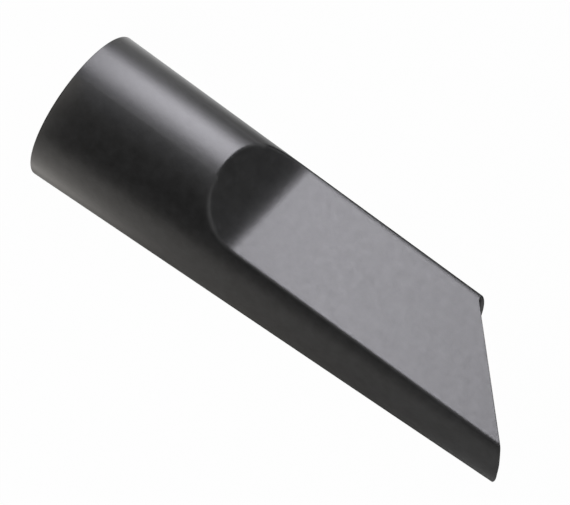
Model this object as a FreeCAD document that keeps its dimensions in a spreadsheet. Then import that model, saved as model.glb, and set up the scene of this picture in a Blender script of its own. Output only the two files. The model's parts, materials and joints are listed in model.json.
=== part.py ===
import FreeCAD, Part
import math
import os

import Sketcher

# Vacuum crevice tool, one hollow moulding of black plastic, in millimetres.
# It stands on its collar: the origin is the centre of the collar's end, +Z runs along the tube to the tip,
# +X points to the long side of the slanted mouth, and the blade's two flats face +Y and -Y.

doc = FreeCAD.newDocument("crevice_tool_model")

# Driving dimensions
driving = {
    "socket_bore": 32.0,  # diameter that takes the wand or hose end
    "socket_depth": 36.0,  # collar's end to the stop ledge
    "collar_wall": 3.0,  # wall around the socket at the collar's end
    "stop_ledge": 0.9,  # radial step that stops the wand
    "neck_length": 18.4,  # stop ledge to the start of the flats
    "blade_length": 77.3,  # start of the flats to the long tip
    "blade_thickness": 20.1,  # outside, flat to flat, where the flats start
    "wall": 2.1,  # wall of the blade
    "side_draft": 1.175,  # degrees that the round sides lean in, collar to tip
    "flat_draft": 1.9,  # degrees that each flat leans in, neck to tip
    "scoop_radius": 16.0,  # hollow curve from the round tube down to the flat
    "mouth_angle": 44.0,  # degrees between the slanted mouth and a square cut
    "mouth_land": 2.95,  # square end on the mouth's short side, in from the tip's half width
    "mouth_bend": 2.0,  # curve that joins the square end to the slant
    "edge_round": 1.8,  # edges where the flats and scoops meet the round sides
    "core_round": 0.6,  # the same edges inside the channel
    "collar_round": 0.2,  # outer rim of the collar
    "lead_in": 0.8,  # chamfer at the socket's mouth
    "mouth_round": 0.2,  # outer rim of the slanted mouth
}
sizes = doc.addObject("Spreadsheet::Sheet", "sizes")
for row, (alias, value) in enumerate(driving.items(), start=1):
    sizes.set(f"A{row}", alias)
    sizes.set(f"B{row}", str(value))
    sizes.setAlias(f"B{row}", alias)
doc.recompute()

# Sizes that follow from the driving ones, as expressions for the sketches
COLLAR_RADIUS = "(sizes.socket_bore / 2 + sizes.collar_wall)"
FLAT_START = "(sizes.socket_depth + sizes.neck_length)"
TIP = f"({FLAT_START} + sizes.blade_length)"
TIP_RADIUS = f"({COLLAR_RADIUS} - {TIP} * tan(sizes.side_draft * 1 deg))"
MOUTH_RISE = "tan(sizes.mouth_angle * 1 deg)"
# Blanks and cuts run past what they trim by one collar radius
OVERRUN = COLLAR_RADIUS
BLANK_TOP = f"({TIP} + {OVERRUN})"

# The same sizes as numbers, to draw each sketch near its final shape
collar_radius = driving["socket_bore"] / 2 + driving["collar_wall"]
flat_start = driving["socket_depth"] + driving["neck_length"]
tip = flat_start + driving["blade_length"]
side_draft = math.radians(driving["side_draft"])
flat_draft = math.radians(driving["flat_draft"])
mouth_angle = math.radians(driving["mouth_angle"])
tip_radius = collar_radius - tip * math.tan(side_draft)
blank_top = tip + collar_radius
blank_radius = collar_radius - blank_top * math.tan(side_draft)

# A sketch's own numbers for its origin
ORIGIN = (-1, 1)
# Lengths closer than this count as equal
TOLERANCE = 0.001


def point(across, along):
    return FreeCAD.Vector(across, along, 0)


def origin_plane(body, role):
    return next(feature for feature in body.Origin.OriginFeatures if feature.Role == role)


def new_sketch(body, role, name):
    """An empty sketch on one of the body's own origin planes."""
    sketch = body.newObject("Sketcher::SketchObject", name)
    sketch.AttachmentSupport = [(origin_plane(body, role), "")]
    sketch.MapMode = "FlatFace"
    return sketch


def start_of(line):
    """The start point of a sketch's line or arc, as constraints take it."""
    return line, 1


def end_of(line):
    """The end point of a sketch's line or arc, as constraints take it."""
    return line, 2


def add_lines(sketch, corners):
    """Lines from each corner to the next; returns their numbers in the sketch."""
    return [sketch.addGeometry(Part.LineSegment(*pair)) for pair in zip(corners, corners[1:])]


def join(sketch, chain):
    """Makes each line of a chain end where the next one starts."""
    for one, following in zip(chain, chain[1:]):
        sketch.addConstraint(Sketcher.Constraint("Coincident", *end_of(one), *start_of(following)))


def settle(sketch, kind, lines):
    """Makes lines horizontal or vertical."""
    for line in lines:
        sketch.addConstraint(Sketcher.Constraint(kind, line))


def drive(sketch, name, expression, kind, *target):
    """Adds a named dimension, drawn at its present size, and binds it to an expression."""
    index = sketch.addConstraint(Sketcher.Constraint(kind, *target))
    sketch.renameConstraint(index, name)
    sketch.setExpression(f"Constraints.{name}", expression)


def revolve(body, sketch, name):
    turned = body.newObject("PartDesign::Revolution", name)
    turned.Profile = sketch
    turned.ReferenceAxis = (sketch, ["V_Axis"])
    turned.Angle = 360
    doc.recompute()


def check_cut(body, before, name):
    if body.Shape.Volume >= before:
        raise RuntimeError(f"{name} cuts nothing")


def cut_through(body, sketch, name):
    """A pocket that runs through the body both ways from its sketch."""
    before = body.Shape.Volume
    pocket = body.newObject("PartDesign::Pocket", name)
    pocket.Profile = sketch
    pocket.Type = "ThroughAll"
    pocket.SideType = "Symmetric"
    doc.recompute()
    check_cut(body, before, name)
    return pocket


def cut_both_flats(body, name, half_thickness, start, radius):
    """Cuts a flat with a scooped start on the +Y side and mirrors it to the -Y side.

    The outline follows the flat from its start up past the tip, closes well outside the tube,
    and comes back along a shelf and the scoop's arc, which is tangent to the flat.
    """
    sketch = new_sketch(body, "YZ_Plane", name + "_outline")
    half = driving["blade_thickness"] / 2
    scoop = driving["scoop_radius"]
    centre = point(half + scoop * math.cos(flat_draft), flat_start + scoop * math.sin(flat_draft))
    far = centre.x + collar_radius
    flat, top, outside, shelf = add_lines(sketch, [
        point(half, flat_start),
        point(half - (blank_top - flat_start) * math.tan(flat_draft), blank_top),
        point(far, blank_top),
        point(far, centre.y - scoop),
        point(centre.x, centre.y - scoop),
    ])
    circle = Part.Circle(centre, FreeCAD.Vector(0, 0, 1), scoop)
    arc = sketch.addGeometry(Part.ArcOfCircle(circle, math.pi + flat_draft, 1.5 * math.pi))
    join(sketch, [flat, top, outside, shelf])
    sketch.addConstraint(Sketcher.Constraint("Tangent", *end_of(shelf), *end_of(arc)))
    sketch.addConstraint(Sketcher.Constraint("Tangent", *start_of(arc), *start_of(flat)))
    settle(sketch, "Horizontal", [top, shelf])
    settle(sketch, "Vertical", [outside])
    drive(sketch, "half_thickness", half_thickness, "DistanceX", *ORIGIN, *start_of(flat), half)
    drive(sketch, "flat_start", start, "DistanceY", *ORIGIN, *start_of(flat), flat_start)
    drive(sketch, "lean", "90 deg + sizes.flat_draft * 1 deg", "Angle", flat, math.pi / 2 + flat_draft)
    drive(sketch, "scoop", radius, "Radius", arc, scoop)
    drive(sketch, "top", BLANK_TOP, "DistanceY", *ORIGIN, *end_of(flat), blank_top)
    drive(sketch, "reach", OVERRUN, "DistanceX", *end_of(shelf), *start_of(shelf), collar_radius)
    pocket = cut_through(body, sketch, name)
    before = body.Shape.Volume
    mirrored = body.newObject("PartDesign::Mirrored", name + "_mirrored")
    mirrored.Originals = [pocket]
    mirrored.MirrorPlane = (origin_plane(body, "XZ_Plane"), [""])
    body.Tip = mirrored
    doc.recompute()
    check_cut(body, before, name + "_mirrored")
    return mirrored


def work_edges(body, base, kind, name, chosen, size):
    """Fillets or chamfers those edges of the base feature that the chosen test picks."""
    names = [f"Edge{index}" for index, edge in enumerate(base.Shape.Edges, start=1) if chosen(edge)]
    if not names:
        raise RuntimeError(f"{name} finds no edge")
    worked = body.newObject(f"PartDesign::{kind}", name)
    worked.Base = (base, names)
    worked.setExpression("Radius" if kind == "Fillet" else "Size", size)
    doc.recompute()
    return worked


def borders_flat(edge):
    """True for an edge that runs beside a flat or around a scoop, where the round sides begin."""
    box = edge.BoundBox
    return box.ZMin > driving["socket_depth"] and box.ZLength > TOLERANCE


# Outside of the tool
# A drafted tube that runs past the tip, with a scooped flat on each side and softened edges.
tool = doc.addObject("PartDesign::Body", "crevice_tool")
tube_outline = new_sketch(tool, "XZ_Plane", "tube_outline")
collar_end, side, top, axis = add_lines(tube_outline, [
    point(0, 0),
    point(collar_radius, 0),
    point(blank_radius, blank_top),
    point(0, blank_top),
    point(0, 0),
])
join(tube_outline, [collar_end, side, top, axis, collar_end])
tube_outline.addConstraint(Sketcher.Constraint("Coincident", *start_of(collar_end), *ORIGIN))
settle(tube_outline, "Horizontal", [collar_end, top])
settle(tube_outline, "Vertical", [axis])
drive(tube_outline, "collar_radius", COLLAR_RADIUS, "DistanceX", collar_end, collar_radius)
drive(tube_outline, "blank_top", BLANK_TOP, "DistanceY", *ORIGIN, *end_of(top), blank_top)
drive(tube_outline, "lean", "90 deg + sizes.side_draft * 1 deg", "Angle", side, math.pi / 2 + side_draft)
revolve(tool, tube_outline, "tube")
flats = cut_both_flats(tool, "flat", "sizes.blade_thickness / 2", FLAT_START, "sizes.scoop_radius")
work_edges(tool, flats, "Fillet", "flat_edges", borders_flat, "sizes.edge_round")

# Core of the mould
# The socket up to its stop ledge, then a channel that follows the outside one wall further in.
core = doc.addObject("PartDesign::Body", "channel_core")
core_outline = new_sketch(core, "XZ_Plane", "core_outline")
bore_radius = driving["socket_bore"] / 2
socket_depth = driving["socket_depth"]
stop_ledge = driving["stop_ledge"]
channel_radius = blank_radius - driving["wall"]
entry, bore_wall, ledge, channel_wall, top, axis = add_lines(core_outline, [
    point(0, -collar_radius),
    point(bore_radius, -collar_radius),
    point(bore_radius, socket_depth),
    point(bore_radius - stop_ledge, socket_depth),
    point(channel_radius, blank_top),
    point(0, blank_top),
    point(0, -collar_radius),
])
join(core_outline, [entry, bore_wall, ledge, channel_wall, top, axis, entry])
core_outline.addConstraint(Sketcher.Constraint("Vertical", *start_of(entry), *ORIGIN))
settle(core_outline, "Horizontal", [entry, ledge, top])
settle(core_outline, "Vertical", [bore_wall, axis])
drive(core_outline, "bore_radius", "sizes.socket_bore / 2", "DistanceX", entry, bore_radius)
drive(core_outline, "overrun", OVERRUN, "DistanceY", *start_of(entry), *ORIGIN, collar_radius)
drive(core_outline, "depth", "sizes.socket_depth", "DistanceY", *ORIGIN, *start_of(ledge), socket_depth)
ledge_ends = (*end_of(ledge), *start_of(ledge))
drive(core_outline, "stop_ledge", "sizes.stop_ledge", "DistanceX", *ledge_ends, stop_ledge)
drive(core_outline, "blank_top", BLANK_TOP, "DistanceY", *ORIGIN, *start_of(top), blank_top)
channel_top = f"{COLLAR_RADIUS} - {BLANK_TOP} * tan(sizes.side_draft * 1 deg) - sizes.wall"
drive(core_outline, "channel_top", channel_top, "DistanceX", *ORIGIN, *start_of(top), channel_radius)
revolve(core, core_outline, "socket_and_channel")
inner_flats = cut_both_flats(
    core,
    "inner_flat",
    "sizes.blade_thickness / 2 - sizes.wall * cos(sizes.flat_draft * 1 deg)",
    f"{FLAT_START} - sizes.wall * sin(sizes.flat_draft * 1 deg)",
    "sizes.scoop_radius + sizes.wall",
)
work_edges(core, inner_flats, "Fillet", "core_edges", borders_flat, "sizes.core_round")

# Hollow
# The core leaves the socket and the channel open from the collar's end to past the tip.
hollow = tool.newObject("PartDesign::Boolean", "hollow")
hollow.Type = "Cut"
hollow.setObjects([core])
doc.recompute()

# Slanted mouth
# The slant passes through the long tip and bends to a square end on the short side.
mouth_outline = new_sketch(tool, "XZ_Plane", "mouth_outline")
bend_radius = driving["mouth_bend"]
land_height = tip - (2 * tip_radius - driving["mouth_land"]) * math.tan(mouth_angle)
bend_start = driving["mouth_land"] - tip_radius - bend_radius * math.tan(mouth_angle / 2)
bend_circle = Part.Circle(point(bend_start, land_height + bend_radius), FreeCAD.Vector(0, 0, 1), bend_radius)
bend = Part.ArcOfCircle(bend_circle, 1.5 * math.pi, 1.5 * math.pi + mouth_angle)
slant_end = point(tip_radius + collar_radius, tip + collar_radius * math.tan(mouth_angle))
ceiling = slant_end.y + collar_radius
slant, long_side, top, short_side, land = add_lines(mouth_outline, [
    bend.EndPoint,
    slant_end,
    point(slant_end.x, ceiling),
    point(-2 * collar_radius, ceiling),
    point(-2 * collar_radius, land_height),
    bend.StartPoint,
])
bend_arc = mouth_outline.addGeometry(bend)
join(mouth_outline, [slant, long_side, top, short_side, land])
mouth_outline.addConstraint(Sketcher.Constraint("Tangent", *end_of(land), *start_of(bend_arc)))
mouth_outline.addConstraint(Sketcher.Constraint("Tangent", *end_of(bend_arc), *start_of(slant)))
settle(mouth_outline, "Horizontal", [top, land])
settle(mouth_outline, "Vertical", [long_side, short_side])
drive(mouth_outline, "bend", "sizes.mouth_bend", "Radius", bend_arc, bend_radius)
drive(mouth_outline, "slant_angle", "sizes.mouth_angle * 1 deg", "Angle", slant, mouth_angle)
slant_reach = f"{TIP_RADIUS} + {OVERRUN}"
drive(mouth_outline, "slant_reach", slant_reach, "DistanceX", *ORIGIN, *end_of(slant), slant_end.x)
slant_top = f"{TIP} + {OVERRUN} * {MOUTH_RISE}"
drive(mouth_outline, "slant_top", slant_top, "DistanceY", *ORIGIN, *end_of(slant), slant_end.y)
drive(mouth_outline, "ceiling", OVERRUN, "DistanceY", *end_of(slant), *start_of(top), collar_radius)
short_reach = f"2 * {OVERRUN}"
drive(mouth_outline, "short_reach", short_reach, "DistanceX", *start_of(land), *ORIGIN, 2 * collar_radius)
land_level = f"{TIP} - (2 * {TIP_RADIUS} - sizes.mouth_land) * {MOUTH_RISE}"
drive(mouth_outline, "land_level", land_level, "DistanceY", *ORIGIN, *start_of(land), land_height)
mouth = cut_through(tool, mouth_outline, "mouth")


def is_mouth_rim(edge):
    """True for an edge of the mouth's cut on the outside of the wall."""
    if edge.BoundBox.ZMin < land_height - TOLERANCE:
        return False
    middle = edge.valueAt((edge.FirstParameter + edge.LastParameter) / 2)
    flat_distance = driving["blade_thickness"] / 2 - (middle.z - flat_start) * math.tan(flat_draft)
    side_distance = collar_radius - middle.z * math.tan(side_draft)
    depth = min(flat_distance - abs(middle.y), side_distance - math.hypot(middle.x, middle.y))
    return depth < driving["wall"] / 2


def is_collar_circle(edge, radius):
    """True for the circle of that radius on the collar's end."""
    box = edge.BoundBox
    return abs(box.ZMax) < TOLERANCE and abs(box.XMax - radius) < TOLERANCE


# Worked edges
# The mouth's outer rim, the collar's outer rim, and a lead-in that guides the wand.
mouth_rim = work_edges(tool, mouth, "Fillet", "mouth_rim", is_mouth_rim, "sizes.mouth_round")
collar_rim = work_edges(
    tool,
    mouth_rim,
    "Fillet",
    "collar_rim",
    lambda edge: is_collar_circle(edge, collar_radius),
    "sizes.collar_round",
)
work_edges(
    tool,
    collar_rim,
    "Chamfer",
    "lead_in",
    lambda edge: is_collar_circle(edge, bore_radius),
    "sizes.lead_in",
)

# Checks and file
for item in doc.Objects:
    if "Invalid" in item.State or "Error" in item.State:
        raise RuntimeError(f"{item.Name} failed: {item.State}")
if tool.Shape.isNull() or not tool.Shape.isValid() or len(tool.Shape.Solids) != 1:
    raise RuntimeError(f"{tool.Label} isn't one valid solid")
os.makedirs("parts", exist_ok=True)
tool.Shape.exportStep(f"parts/{tool.Label}.step")
box = tool.Shape.optimalBoundingBox(True, False)
print(f"{tool.Label}: {box.XLength:.2f} x {box.YLength:.2f} x {box.ZLength:.2f} mm")
print(f"volume {tool.Shape.Volume:.0f} mm3")
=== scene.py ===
import json
import math

import bpy
import numpy
from mathutils import Matrix, Vector


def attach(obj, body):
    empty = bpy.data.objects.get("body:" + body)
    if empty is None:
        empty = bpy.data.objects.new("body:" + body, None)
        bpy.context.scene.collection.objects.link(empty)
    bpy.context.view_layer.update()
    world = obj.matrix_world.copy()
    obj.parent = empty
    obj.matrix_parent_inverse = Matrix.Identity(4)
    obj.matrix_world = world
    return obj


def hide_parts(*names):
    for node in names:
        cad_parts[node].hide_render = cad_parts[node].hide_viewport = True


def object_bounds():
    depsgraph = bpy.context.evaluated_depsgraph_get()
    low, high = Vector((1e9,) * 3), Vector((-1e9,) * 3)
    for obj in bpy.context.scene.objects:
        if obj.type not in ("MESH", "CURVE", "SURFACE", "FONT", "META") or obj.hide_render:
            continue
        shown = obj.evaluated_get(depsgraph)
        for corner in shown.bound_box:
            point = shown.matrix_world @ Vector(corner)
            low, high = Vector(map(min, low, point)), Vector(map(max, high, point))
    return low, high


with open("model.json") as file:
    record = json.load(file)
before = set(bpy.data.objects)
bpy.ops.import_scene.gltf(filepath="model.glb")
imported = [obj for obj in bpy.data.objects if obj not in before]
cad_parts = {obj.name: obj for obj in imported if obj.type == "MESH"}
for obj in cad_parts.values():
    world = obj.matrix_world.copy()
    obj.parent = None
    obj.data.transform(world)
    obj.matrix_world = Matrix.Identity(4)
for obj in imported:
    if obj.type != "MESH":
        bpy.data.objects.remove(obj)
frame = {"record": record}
cad_low, cad_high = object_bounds()

# Wall of the crevice tool
# The tool is one injection moulding of black plastic, hollow from end to end. Its wall is first drawn as a
# section, as if the tube ran on round from the socket's collar and was cut off square at the tip.
MM = 0.001
mounts = {mount["name"]: mount for mount in frame["record"]["mounts"]}
bore_radius = mounts["socket"]["dims"]["r_mm"] * MM
# A hair under the solid's wall, so that the mesh stays inside the solid's box
collar_wall = 2.985 * MM
collar_radius = bore_radius + collar_wall
collar_round = 0.2 * MM
lead_in = 0.8 * MM
socket_depth = 36.0 * MM
stop_ledge = 0.9 * MM
ledge_radius = bore_radius - stop_ledge
flat_start = 54.4 * MM
scoop_radius = 16.0 * MM
scoop_margin = 2.0 * MM
tip = 131.7 * MM
wall = 2.1 * MM
mouth_round = 0.2 * MM
mouth_break = 0.1 * MM
side_draft = math.radians(1.175)
side_lean = math.tan(side_draft)


def outside_radius(height):
    """Radius of the drafted outside at a height."""
    return collar_radius - height * side_lean


core_top = tip + collar_radius
channel_lean = (ledge_radius - outside_radius(core_top) + wall) / (core_top - socket_depth)


def channel_radius(height):
    """Radius of the drafted channel at a height."""
    return ledge_radius - (height - socket_depth) * channel_lean


def lip_radius(inset):
    """Radius on the square-cut tip, at a depth in from the outside skin."""
    return outside_radius(tip) + (channel_radius(tip) - outside_radius(tip)) * inset / wall


def steps(start, end, count):
    """Heights from start up to, but not including, end."""
    return [start + (end - start) * step / count for step in range(count)]


def quarter(count):
    """Sine and cosine of each turn along a quarter round."""
    turns = [math.pi / 2 * step / count for step in range(count + 1)]
    return [(math.sin(turn), math.cos(turn)) for turn in turns]


# Rings of the mesh along each stretch of the wall, closest where the scoops are
tube_rings = 10
scoop_rings = 72
blade_rings = 22
mouth_rings = 4
break_rings = 3
channel_blade_rings = 14
channel_scoop_rings = 40
bore_rings = 8
rim_rings = 4
# Rings this close to a rim hold its rounding crisp
hold = 0.12 * MM

# A station of the section is a radius, a height, and how far it lies in from the outside skin
scoop_low = flat_start - scoop_radius
scoop_high = flat_start + scoop_margin
mouth_hold = tip - mouth_round - hold
outside_heights = [collar_round] + steps(collar_round + hold, scoop_low, tube_rings)
outside_heights += steps(scoop_low, scoop_high, scoop_rings)
outside_heights += steps(scoop_high, mouth_hold, blade_rings) + [mouth_hold]
stations = [(outside_radius(height), height, 0.0) for height in outside_heights]
for sine, cosine in quarter(mouth_rings):
    inset = mouth_round * (1 - cosine)
    stations.append((lip_radius(inset), tip - mouth_round * (1 - sine), inset))
for sine, cosine in quarter(break_rings):
    inset = wall - mouth_break * (1 - sine)
    stations.append((lip_radius(inset), tip - mouth_break * (1 - cosine), inset))
channel_heights = steps(socket_depth, scoop_high, channel_scoop_rings)
channel_heights += steps(scoop_high, tip - mouth_round, channel_blade_rings)
stations += [(channel_radius(height), height, wall) for height in reversed(channel_heights)]
bore_heights = steps(lead_in, socket_depth, bore_rings) + [socket_depth]
stations += [(bore_radius, height, wall) for height in reversed(bore_heights)]
stations.append((bore_radius + lead_in, 0.0, wall))
rim_radius = outside_radius(collar_round) - collar_round
for sine, cosine in quarter(rim_rings)[:-1]:
    stations.append((rim_radius + collar_round * sine, collar_round * (1 - cosine), 0.0))

section = bpy.data.meshes.new("wall_section")
loop = [(at, (at + 1) % len(stations)) for at in range(len(stations))]
section.from_pydata([(radius, 0.0, height) for radius, height, inset in stations], loop, [])
inset_layer = section.attributes.new("inset", "FLOAT", "POINT")
inset_layer.data.foreach_set("value", [inset for radius, height, inset in stations])
tool = bpy.data.objects.new("crevice_tool_body", section)
bpy.context.scene.collection.objects.link(tool)

# Black plastic
# Polypropylene with carbon black. The mould is spark eroded, which leaves a fine satin grain on every face.
# The melt cools unevenly, which leaves a faint ripple, paler patches in the black and clouds in the gloss.
deep_black = (0.006, 0.006, 0.0062, 1.0)
pale_black = (0.016, 0.016, 0.0166, 1.0)
surface_specular = 0.5
cloud_scale = 600.0
grain_scale = 2600.0
ripple_scale = 380.0
gloss_swing = 0.09
gloss_floor = 0.275
patch_contrast = 2.4
patch_shift = -0.7
grain_share = 0.07
relief_height = 0.026 * MM


def add_node(tree, kind, **values):
    """A new node whose inputs take a value or a link from another node's output."""
    node = tree.nodes.new(kind)
    for name, value in values.items():
        socket = node.inputs[name.replace("_", " ")]
        if isinstance(value, bpy.types.NodeSocket):
            tree.links.new(value, socket)
        else:
            socket.default_value = value
    return node


def reckon(tree, operation, *terms):
    """One step of arithmetic in a node tree."""
    node = tree.nodes.new("ShaderNodeMath")
    node.operation = operation
    for socket, term in zip(node.inputs, terms):
        if isinstance(term, bpy.types.NodeSocket):
            tree.links.new(term, socket)
        else:
            socket.default_value = term
    return node.outputs["Value"]


plastic = bpy.data.materials.new("black_moulded_plastic")
plastic.use_nodes = True
shading = plastic.node_tree
shader = shading.nodes["Principled BSDF"]
shader.inputs["Specular IOR Level"].default_value = surface_specular
places = shading.nodes.new("ShaderNodeTexCoord").outputs["Object"]


def surface_noise(scale, detail, roughness):
    """Noise that is fixed to the tool, for one scale of its surface."""
    noise = add_node(
        shading, "ShaderNodeTexNoise", Vector=places, Scale=scale, Detail=detail, Roughness=roughness
    )
    return noise.outputs["Fac"]


clouds = surface_noise(cloud_scale, detail=4.0, roughness=0.75)
grain = surface_noise(grain_scale, detail=2.0, roughness=0.6)
ripple = surface_noise(ripple_scale, detail=3.0, roughness=0.6)
gloss = reckon(shading, "MULTIPLY_ADD", clouds, gloss_swing, gloss_floor)
shading.links.new(gloss, shader.inputs["Roughness"])
patches = reckon(shading, "MULTIPLY_ADD", ripple, patch_contrast, patch_shift)
black = add_node(shading, "ShaderNodeMix", Factor=patches)
black.data_type = "RGBA"
# A Mix node's inputs 6 and 7 and its output 2 are the ones for colours
black.inputs[6].default_value = deep_black
black.inputs[7].default_value = pale_black
shading.links.new(black.outputs[2], shader.inputs["Base Color"])
relief = reckon(shading, "MULTIPLY_ADD", grain, grain_share, ripple)
bump = add_node(shading, "ShaderNodeBump", Strength=1.0, Distance=relief_height, Height=relief)
shading.links.new(bump.outputs["Normal"], shader.inputs["Normal"])

# Forming of the tool
# The mould turns the section into a drafted tube, closes in on both sides to leave the scoops and the flats
# of the blade, and meets the core along the slanted mouth, which ends square on its short side.
COLUMNS = 480
SETTLING_TURNS = 4
half_thickness = 10.05 * MM
flat_draft = math.radians(1.9)
mouth_angle = math.radians(44.0)
mouth_rise = math.tan(mouth_angle)
mouth_land = 2.95 * MM
# Towards the round sides the flat's radius grows without end, so the sine that divides it stays above this
least_sine = 0.02
weld_distance = 0.002 * MM
crisp_angle = math.radians(32.0)
sizes = {
    "Side Lean": side_lean,
    "Channel Lean": channel_lean,
    "Wall": wall,
    "Half Thickness": half_thickness,
    "Flat Start": flat_start,
    "Flat Lean": math.tan(flat_draft),
    "Scoop Radius": scoop_radius,
    "Edge Blend": 1.2 * MM,
    "Rim Blend": 2.4 * MM,
    "Core Blend": 0.45 * MM,
    "Slant Start": scoop_high,
    "Tip": tip,
    "Tip Radius": outside_radius(tip),
    "Mouth Rise": mouth_rise,
    "Land Height": tip - (2 * outside_radius(tip) - mouth_land) * mouth_rise,
    "Mouth Bend": 0.9 * MM,
    "Peak": cad_high.z,
    "Peak Blend": 0.2 * MM,
}
forming = bpy.data.node_groups.new("forming_of_the_tool", "GeometryNodeTree")
forming.interface.new_socket("Section", in_out="INPUT", socket_type="NodeSocketGeometry")
forming.interface.new_socket("Tool", in_out="OUTPUT", socket_type="NodeSocketGeometry")
modifier = tool.modifiers.new("forming", "NODES")
modifier.node_group = forming
for name, size in sizes.items():
    socket = forming.interface.new_socket(name, in_out="INPUT", socket_type="NodeSocketFloat")
    modifier[socket.identifier] = size
given = forming.nodes.new("NodeGroupInput").outputs


def form(operation, *terms):
    """One step of arithmetic in the forming tree."""
    return reckon(forming, operation, *terms)


# Turning: a grid whose rows are the section's stations and whose columns go round the axis
section_size = add_node(forming, "GeometryNodeAttributeDomainSize", Geometry=given["Section"])
station_count = section_size.outputs["Point Count"]
rows = form("ADD", station_count, 1.0)
grid = add_node(forming, "GeometryNodeMeshGrid", Vertices_X=COLUMNS + 1, Vertices_Y=rows)
index = forming.nodes.new("GeometryNodeInputIndex").outputs["Index"]
station = form("MODULO", form("MODULO", index, rows), station_count)
column = form("FLOOR", form("DIVIDE", index, rows))
angle = form("MULTIPLY", column, 2 * math.pi / COLUMNS)
across = form("COSINE", angle)
outward = form("SINE", angle)


def at_station(data_type, value):
    """What the section has at this row's station."""
    sample = forming.nodes.new("GeometryNodeSampleIndex")
    sample.data_type = data_type
    forming.links.new(given["Section"], sample.inputs["Geometry"])
    forming.links.new(value, sample.inputs["Value"])
    forming.links.new(station, sample.inputs["Index"])
    return sample.outputs["Value"]


section_inset = add_node(forming, "GeometryNodeInputNamedAttribute", Name="inset").outputs["Attribute"]
section_place = forming.nodes.new("GeometryNodeInputPosition").outputs["Position"]
inset = at_station("FLOAT", section_inset)
place = at_station("FLOAT_VECTOR", section_place)
turned = add_node(forming, "ShaderNodeSeparateXYZ", Vector=place).outputs
depth = form("DIVIDE", inset, given["Wall"])


def between(outside, inside):
    """A size that changes through the wall from its outside to its inside value."""
    change = form("SUBTRACT", inside, outside)
    return form("MULTIPLY_ADD", change, depth, outside)


# Pressing: the scoop's arc runs into the flat, and its centre is the same inside and outside the wall
lean = between(given["Side Lean"], given["Channel Lean"])
arc_radius = form("ADD", given["Scoop Radius"], inset)
draft = form("ARCTANGENT", given["Flat Lean"])
centre_out = form("MULTIPLY_ADD", given["Scoop Radius"], form("COSINE", draft), given["Half Thickness"])
centre_up = form("MULTIPLY_ADD", given["Scoop Radius"], form("SINE", draft), given["Flat Start"])
steepness = form("MAXIMUM", form("ABSOLUTE", outward), least_sine)


def pressed_radius(height):
    """Radius at a height, once the flat and its scoop have been pressed into the tube."""
    drop = form("SUBTRACT", turned["Z"], height)
    tube = form("MULTIPLY_ADD", drop, lean, turned["X"])
    climb = form("SUBTRACT", given["Flat Start"], height)
    line = form("MULTIPLY_ADD", climb, given["Flat Lean"], given["Half Thickness"])
    line = form("SUBTRACT", line, inset)
    below = form("SUBTRACT", centre_up, height)
    room = form("SUBTRACT", form("POWER", arc_radius, 2.0), form("POWER", below, 2.0))
    arc = form("SUBTRACT", centre_out, form("SQRT", form("MAXIMUM", room, 0.0)))
    scooped = form("GREATER_THAN", climb, 0.0)
    flat = form("MULTIPLY_ADD", scooped, form("SUBTRACT", arc, line), line)
    rise = form("DIVIDE", form("MAXIMUM", climb, 0.0), given["Scoop Radius"])
    softening = form("SUBTRACT", given["Rim Blend"], given["Edge Blend"])
    edge = form("MULTIPLY_ADD", form("MINIMUM", rise, 1.0), softening, given["Edge Blend"])
    blend = between(edge, given["Core Blend"])
    return form("SMOOTH_MIN", tube, form("DIVIDE", flat, steepness), blend)


# Slanting: the tube is shortened to the mouth, by a share that grows from the slant's start to the tip
slant_length = form("SUBTRACT", given["Tip"], given["Slant Start"])
slant_share = form("DIVIDE", form("SUBTRACT", turned["Z"], given["Slant Start"]), slant_length)
slant_share = form("MAXIMUM", slant_share, 0.0)


def slanted_height(radius):
    """Height of a station once the mouth's slant has shortened the tube, at that radius."""
    reach = form("SUBTRACT", form("MULTIPLY", radius, across), given["Tip Radius"])
    slant = form("MULTIPLY_ADD", reach, given["Mouth Rise"], given["Tip"])
    mouth = form("SMOOTH_MAX", slant, given["Land Height"], given["Mouth Bend"])
    mouth = form("SMOOTH_MIN", mouth, given["Peak"], given["Peak Blend"])
    return form("MULTIPLY_ADD", form("SUBTRACT", mouth, given["Tip"]), slant_share, turned["Z"])


# The slant depends on the radius and the radius on the slant, so they settle in a few turns
radius = turned["X"]
for settling in range(SETTLING_TURNS):
    height = slanted_height(radius)
    radius = pressed_radius(height)
spot = add_node(
    forming,
    "ShaderNodeCombineXYZ",
    X=form("MULTIPLY", radius, across),
    Y=form("MULTIPLY", radius, outward),
    Z=height,
).outputs["Vector"]
formed = add_node(forming, "GeometryNodeSetPosition", Geometry=grid.outputs["Mesh"], Position=spot)
closed = add_node(
    forming, "GeometryNodeMergeByDistance", Geometry=formed.outputs["Geometry"], Distance=weld_distance
)
bend = forming.nodes.new("GeometryNodeInputMeshEdgeAngle").outputs["Unsigned Angle"]
crisp = form("GREATER_THAN", bend, crisp_angle)
smooth = add_node(forming, "GeometryNodeSetShadeSmooth", Geometry=closed.outputs["Geometry"])
sharp = forming.nodes.new("GeometryNodeSetShadeSmooth")
sharp.domain = "EDGE"
sharp.inputs["Shade Smooth"].default_value = False
forming.links.new(smooth.outputs["Geometry"], sharp.inputs["Geometry"])
forming.links.new(crisp, sharp.inputs["Selection"])
single = add_node(forming, "GeometryNodeRealizeInstances", Geometry=sharp.outputs["Geometry"])
finished = add_node(
    forming, "GeometryNodeSetMaterial", Geometry=single.outputs["Geometry"], Material=plastic
)
result = forming.nodes.new("NodeGroupOutput")
forming.links.new(finished.outputs["Geometry"], result.inputs["Tool"])

evaluated = tool.evaluated_get(bpy.context.evaluated_depsgraph_get())
body = bpy.data.meshes.new_from_object(evaluated)
tool.modifiers.clear()
tool.data = body
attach(tool, "root")
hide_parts("crevice_tool")

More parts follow.
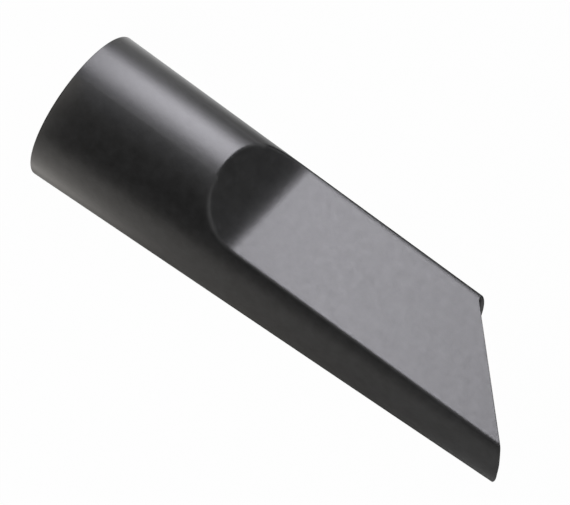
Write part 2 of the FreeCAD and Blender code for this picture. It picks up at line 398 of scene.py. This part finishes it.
# Floor
# A wide sheet of white card, which the tool stands on. It lies a hair under the collar's end, so that the
# two faces don't flicker, and it shows white and keeps a trace of the tool's shadow.
floor_reach = 5.0
floor_drop = 0.05 * MM
card_tone = (0.9, 0.9, 0.9, 1.0)
pure_white = (1.0, 1.0, 1.0, 1.0)
white_share = 0.98


def seen_share(tree):
    """1 where the camera, a reflection or a clear piece looks, and 0 for light that falls on things."""
    path = tree.nodes.new("ShaderNodeLightPath").outputs
    seen = reckon(tree, "MAXIMUM", path["Is Camera Ray"], path["Is Glossy Ray"])
    return reckon(tree, "MAXIMUM", seen, path["Is Transmission Ray"])


floor_mesh = bpy.data.meshes.new("floor")
corner_signs = ((-1, -1), (1, -1), (1, 1), (-1, 1))
floor_corners = [(x * floor_reach, y * floor_reach, -floor_drop) for x, y in corner_signs]
floor_mesh.from_pydata(floor_corners, [], [(0, 1, 2, 3)])
floor = bpy.data.objects.new("floor", floor_mesh)
bpy.context.scene.collection.objects.link(floor)
card = bpy.data.materials.new("white_card")
card.use_nodes = True
card_tree = card.node_tree
card_tree.nodes.clear()
lit = add_node(card_tree, "ShaderNodeBsdfDiffuse", Color=card_tone)
white = add_node(card_tree, "ShaderNodeEmission", Color=pure_white, Strength=1.0)
whitening = reckon(card_tree, "MULTIPLY", seen_share(card_tree), white_share)
mixed = add_node(card_tree, "ShaderNodeMixShader", Fac=whitening)
card_tree.links.new(lit.outputs["BSDF"], mixed.inputs[1])
card_tree.links.new(white.outputs["Emission"], mixed.inputs[2])
add_node(card_tree, "ShaderNodeOutputMaterial", Surface=mixed.outputs["Shader"])
floor_mesh.materials.append(card)

# Studio light
# A softbox high on the right lights the floor and the tool plainly, and a gridded lamp lights the flat. Low
# slats on the left make the bright strip that the tube mirrors, and two barn doors hide them from other
# sides. Cards on the floor and flags round the tool set what its other faces mirror.
VIEW_AZIMUTH = 30.37
SPANS = 64
least_gap = 0.0005
gap_share = 0.1
slat_share = 0.32
door_lift = 0.0005
door_height = 0.045
door_reach = 0.16
card_lift = 0.0001
foot_lift = 0.0003
room_level = 0.27
cool_tint = (1.015, 1.0, 1.074)
warm_tint = (1.04, 1.0, 0.95)
plain_tint = (1.0, 1.0, 1.0)


def round_the_tool(azimuth, distance, height):
    """A place at a bearing from the tool's axis, counted from the front (-Y) towards +X."""
    bearing = math.radians(azimuth)
    return Vector((math.sin(bearing) * distance, -math.cos(bearing) * distance, height))


def bearing_of(azimuth, elevation):
    """A direction from the tool, by azimuth and elevation."""
    rise = math.radians(elevation)
    return round_the_tool(azimuth, math.cos(rise), math.sin(rise))


def mirror_point(azimuth):
    """Where, at the foot of the tube, the camera sees what lies at this azimuth."""
    return round_the_tool((azimuth + VIEW_AZIMUTH) / 2, collar_radius, 0.0)


def add_softbox(name, centre, aim, width, height, radiance):
    """A flat lamp that faces a point, with its power set by its brightness and its area."""
    lamp = bpy.data.lights.new(name, "AREA")
    lamp.shape = "RECTANGLE"
    lamp.size = width
    lamp.size_y = height
    lamp.energy = math.pi * radiance * width * height
    box = bpy.data.objects.new(name, lamp)
    box.location = centre
    box.rotation_mode = "QUATERNION"
    box.rotation_quaternion = (aim - centre).to_track_quat("-Z", "Y")
    box.visible_camera = False
    bpy.context.scene.collection.objects.link(box)
    return box


glow = bpy.data.materials.new("glowing_sheet")
glow.use_nodes = True
glow_tree = glow.node_tree
glow_tree.nodes.clear()
glow_level = glow_tree.nodes.new("ShaderNodeAttribute")
glow_level.attribute_name = "level"
glow_light = add_node(glow_tree, "ShaderNodeEmission", Color=glow_level.outputs["Color"], Strength=1.0)
add_node(glow_tree, "ShaderNodeOutputMaterial", Surface=glow_light.outputs["Emission"])


def add_glow(name, points, faces, colours):
    """A glowing mesh that only reflections see."""
    mesh = bpy.data.meshes.new(name)
    mesh.from_pydata(points, [], faces)
    mesh.attributes.new("level", "FLOAT_COLOR", "POINT").data.foreach_set("color", colours)
    mesh.materials.append(glow)
    sheet = bpy.data.objects.new(name, mesh)
    sheet.visible_camera = False
    sheet.visible_shadow = False
    sheet.visible_diffuse = False
    sheet.visible_transmission = False
    bpy.context.scene.collection.objects.link(sheet)


def levels_round(levels):
    """Even steps of azimuth, and the inner and the outer brightness at each, from a table by azimuth."""
    azimuths = numpy.linspace(min(levels), max(levels), SPANS + 1)
    inner, outer = (numpy.interp(azimuths, list(levels), side) for side in zip(*levels.values()))
    return azimuths, inner, outer


def add_bands(name, tint, azimuths, bands):
    """Bands round the tool, each with two edges that have a distance, a height and their brightness."""
    points = []
    faces = []
    colours = []
    for edges in bands:
        first = len(points)
        faces += [(at, at + 1, at + 3, at + 2) for at in range(first, first + 2 * SPANS, 2)]
        for step, azimuth in enumerate(azimuths):
            for distance, height, brightness in edges:
                points.append(mirror_point(azimuth) + round_the_tool(azimuth, distance, height))
                colours += [brightness[step] * part for part in tint] + [1.0]
    add_glow(name, points, faces, colours)


def add_sheet(name, tint, levels, distances, heights):
    """One sheet round the tool, from its inner to its outer distance and height."""
    azimuths, inner, outer = levels_round(levels)
    add_bands(name, tint, azimuths, [list(zip(distances, heights, (inner, outer)))])


def add_louvre(name, tint, levels, nearest, farthest):
    """Upright slats round the tube, wider apart farther out, that send their light low along the floor."""
    azimuths, inner, outer = levels_round(levels)
    slats = []
    distance = nearest
    while distance < farthest:
        gap = max(least_gap, gap_share * distance)
        share = (distance - nearest) / (farthest - nearest)
        brightness = inner + (outer - inner) * share
        slats.append([(distance, 0.0, brightness), (distance, slat_share * gap, brightness)])
        distance += gap
    add_bands(name, tint, azimuths, slats)


def add_door(name, azimuth, near_level, far_level):
    """A dim three-cornered barn door along one azimuth, which hides the strip from the other sides."""
    foot = mirror_point(azimuth)
    corners = ((0.0, door_lift), (0.0, door_height), (door_reach, door_lift))
    points = [foot + round_the_tool(azimuth, distance, height) for distance, height in corners]
    colours = [near_level, near_level, near_level, 1.0] * 2 + [far_level, far_level, far_level, 1.0]
    add_glow(name, points, [(0, 1, 2)], colours)


# Lamps
tool_middle = Vector((0.0, 0.0, 0.06))
overhead_place = round_the_tool(45.0, 0.74, 1.0)
add_softbox("overhead", overhead_place, tool_middle, width=1.2, height=1.2, radiance=1.8)
blade_centre = Vector((0.0, -0.0092, 0.084))
grid_distance = 0.25
grid_place = blade_centre + grid_distance * bearing_of(-30.0, -9.0)
grid_aim = grid_place - bearing_of(-27.0, -14.0)
grid_box = add_softbox("grid_box", grid_place, grid_aim, width=0.2, height=0.1, radiance=0.347)
grid_box.data.spread = math.radians(22.0)
grid_box.data.color = cool_tint

# Slats, barn doors, cards and flags, with their inner and outer brightness by azimuth
start_levels = {
    -78.0: (1.1, 1.1),
    -72.0: (1.75, 1.75),
    -64.0: (3.3, 3.95),
    -56.0: (6.3, 9.1),
    -48.0: (6.5, 9.4),
    -30.0: (6.5, 8.7),
    -18.0: (4.2, 4.3),
    -8.0: (1.55, 1.4),
    5.0: (1.4, 0.64),
    22.0: (1.0, 0.27),
}
add_louvre("strip_start", cool_tint, start_levels, nearest=0.0003, farthest=0.035)
strip_levels = {
    -78.0: (1.1, 1.15),
    -72.0: (1.75, 1.95),
    -64.0: (3.95, 6.6),
    -56.0: (9.1, 15.2),
    -48.0: (9.4, 15.6),
    -30.0: (8.7, 13.0),
    -18.0: (4.3, 5.2),
    -8.0: (1.4, 1.45),
    5.0: (0.64, 0.57),
    13.0: (0.49, 0.42),
    22.0: (0.27, 0.25),
}
add_louvre("strip_panel", cool_tint, strip_levels, nearest=0.035, farthest=0.205)
add_door("right_door", -2.0, near_level=1.55, far_level=1.4)
add_door("left_door", -100.0, near_level=0.7, far_level=0.1)
wing_levels = {-66.0: (0.3, 0.3), -58.0: (1.2, 1.2), -48.0: (2.6, 2.6), -40.0: (1.2, 1.2)}
add_sheet("wing_panel", cool_tint, wing_levels, distances=(0.205, 0.5), heights=(0.0013, 0.003))
foot_levels = {
    2.0: (1.5, 0.7),
    10.0: (1.4, 0.5),
    60.0: (1.0, 0.25),
    86.0: (0.9, 0.2),
    98.0: (0.9, 0.4),
    106.0: (1.0, 0.9),
}
add_sheet("foot_card", warm_tint, foot_levels, distances=(0.0, 0.014), heights=(foot_lift, foot_lift))
near_levels = {
    22.0: (0.32, 0.24),
    36.0: (0.25, 0.09),
    58.0: (0.25, 0.04),
    78.0: (0.25, 0.06),
    90.0: (0.26, 0.14),
    98.0: (0.34, 0.36),
    108.0: (0.9, 1.0),
    124.0: (1.22, 0.93),
    142.0: (1.48, 0.62),
    166.0: (1.55, 0.33),
    182.0: (0.6, 0.1),
    200.0: (0.3, 0.1),
}
add_sheet("near_card", warm_tint, near_levels, distances=(0.0, 0.14), heights=(card_lift, card_lift))
far_levels = {
    22.0: (0.2, 0.1),
    58.0: (0.04, 0.0),
    90.0: (0.1, 0.03),
    98.0: (0.16, 0.03),
    108.0: (0.85, 0.42),
    124.0: (0.85, 0.3),
    142.0: (0.62, 0.16),
    166.0: (0.33, 0.06),
    200.0: (0.1, 0.05),
}
add_sheet("far_card", warm_tint, far_levels, distances=(0.14, 0.55), heights=(card_lift, card_lift))
left_levels = {
    -150.0: (1.3, 1.0),
    -125.0: (1.25, 0.75),
    -112.0: (0.95, 0.3),
    -100.0: (0.75, 0.0),
    -88.0: (0.9, 0.2),
    -78.0: (1.1, 1.0),
}
add_sheet("left_card", plain_tint, left_levels, distances=(0.0, 0.2), heights=(card_lift, card_lift))
shade_levels = {-175.0: (0.05, 0.0), -125.0: (0.05, 0.0), -78.0: (0.05, 0.0)}
add_sheet("shade_card", plain_tint, shade_levels, distances=(0.2, 0.6), heights=(card_lift, 0.3))
front_levels = {
    -62.0: (0.27, 0.27),
    -10.0: (0.27, 0.27),
    10.0: (0.24, 1.3),
    85.0: (0.24, 1.3),
    98.0: (0.27, 0.5),
    112.0: (1.0, 0.4),
    140.0: (0.55, 0.3),
    170.0: (0.4, 0.27),
    200.0: (0.27, 0.27),
}
add_sheet("front_flag", plain_tint, front_levels, distances=(0.56, 0.56), heights=(0.0, 0.5))
flag_height = 0.5
flag_level = 0.29
flag_corners = [(x, y, flag_height) for x, y in ((-1.2, -1.5), (0.15, -1.5), (0.15, 0.6), (-1.2, 0.6))]
add_glow("top_flag", flag_corners, [(0, 1, 2, 3)], 4 * [flag_level, flag_level, flag_level, 1.0])

# Room: white where it is seen, and dimmer as light on the tool
world = bpy.data.worlds.new("room")
world.use_nodes = True
world_tree = world.node_tree
backdrop = world_tree.nodes["Background"]
shown = reckon(world_tree, "MULTIPLY_ADD", seen_share(world_tree), 1.0 - room_level, room_level)
world_tree.links.new(shown, backdrop.inputs["Strength"])
backdrop.inputs["Color"].default_value = pure_white
bpy.context.scene.world = world

# Camera
# A long lens that looks slightly down on the standing tool, rolled so that the tool lies aslant in the
# picture, with its collar at the upper left.
view_elevation = 15.07
view_distance = 1.8183
look_at = Vector((0.67, 0.39, 59.54)) * MM
focal_pixels = 8000.0
picture_width = 570.0
sensor_width = 36.0
bearing = math.radians(VIEW_AZIMUTH)
roll = math.radians(125.06)
back = bearing_of(VIEW_AZIMUTH, view_elevation)
level = Vector((math.cos(bearing), math.sin(bearing), 0.0))
upright = back.cross(level)
right = level * math.cos(roll) + upright * math.sin(roll)
up = upright * math.cos(roll) - level * math.sin(roll)
lens = bpy.data.cameras.new("camera")
lens.sensor_width = sensor_width
lens.lens = sensor_width * focal_pixels / picture_width
camera = bpy.data.objects.new("camera", lens)
facing = Matrix((right, up, back)).transposed().to_4x4()
camera.matrix_world = Matrix.Translation(look_at + back * view_distance) @ facing
bpy.context.scene.collection.objects.link(camera)
bpy.context.scene.camera = camera
bpy.context.scene.view_settings.view_transform = "Standard"
